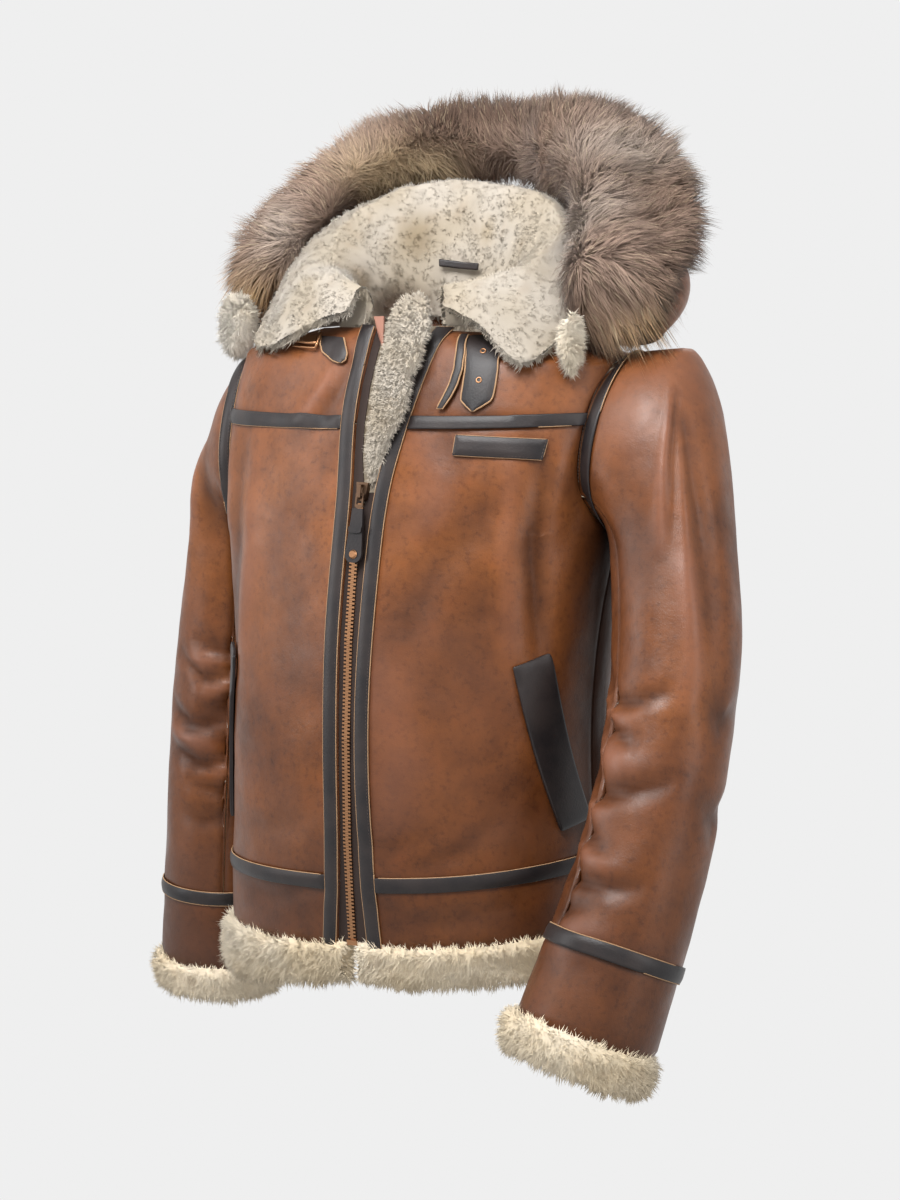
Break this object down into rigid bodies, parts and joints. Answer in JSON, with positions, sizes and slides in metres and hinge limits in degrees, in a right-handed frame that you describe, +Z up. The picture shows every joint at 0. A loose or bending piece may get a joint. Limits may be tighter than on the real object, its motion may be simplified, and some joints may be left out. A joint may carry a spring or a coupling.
{
  "type": "shearling coat",
  "caption": "Short brown shearling flight coat in worn form: dark seam strips, zip front, wide cream collar and a lowered hood with a fur ruff.",
  "frame": {"origin": "middle of the neck, level with the base of the collar", "axes": "+Z up, -Y the front, +X the wearer's left"},
  "size_m": [0.7168, 0.4976, 0.9533],
  "materials": {
    "leather": "oiled pull-up, satin",
    "trim_leather": "smooth satin",
    "shearling": "clipped wool",
    "ruff_fur": "long fur",
    "zip_tape": "woven tape",
    "copper": "antique copper"
  },
  "bodies": {
    "coat": {"front_left": "leather", "yoke_left": "leather", "hem_band_left": "leather", "zip_strip_left": "trim_leather", "waist_strip_left": "trim_leather", "yoke_strip_left": "trim_leather", "front_right": "leather", "yoke_right": "leather", "hem_band_right": "leather", "zip_strip_right": "trim_leather", "waist_strip_right": "trim_leather", "yoke_strip_right": "trim_leather", "back": "leather", "hem_band_back": "leather", "waist_strip_back": "trim_leather", "hem_fur_left": "shearling", "hem_fur_right": "shearling", "hem_fur_back": "shearling", "sleeve_top_left": "leather", "sleeve_under_left": "leather", "cuff_band_left": "leather", "armhole_strip_left": "trim_leather", "cuff_strip_left": "trim_leather", "cuff_fur_left": "shearling", "sleeve_top_right": "leather", "sleeve_under_right": "leather", "cuff_band_right": "leather", "armhole_strip_right": "trim_leather", "cuff_strip_right": "trim_leather", "cuff_fur_right": "shearling", "collar": "shearling", "hood_left": "leather", "hood_right": "leather", "ruff": "ruff_fur", "hood_lobe_left": "shearling", "hood_lobe_right": "shearling", "hood_binding_left": "trim_leather", "hood_binding_right": "trim_leather", "zip_tape_right": "zip_tape", "zip_tape_left": "zip_tape", "zip_slider": "copper", "zip_stop": "copper", "storm_flap": "shearling", "chest_patch": "trim_leather", "pocket_welt_left": "trim_leather", "pocket_welt_right": "trim_leather", "neck_strap_wide": "trim_leather", "neck_strap_narrow": "trim_leather", "buckle_tab": "trim_leather", "buckle_frame": "copper", "hanger_loop": "trim_leather"},
    "zip_pull": {"pull_link": "copper", "pull_tab": "trim_leather", "pull_keeper": "trim_leather", "pull_rivet": "copper"}
  },
  "joints": [
    {"name": "pull_swing", "type": "hinge", "parent": "coat", "child": "zip_pull", "pos_m": [0.0065, -0.16552, -0.15096], "axis": [-1, 0, 0], "range_deg": [0, 120]}
  ]
}
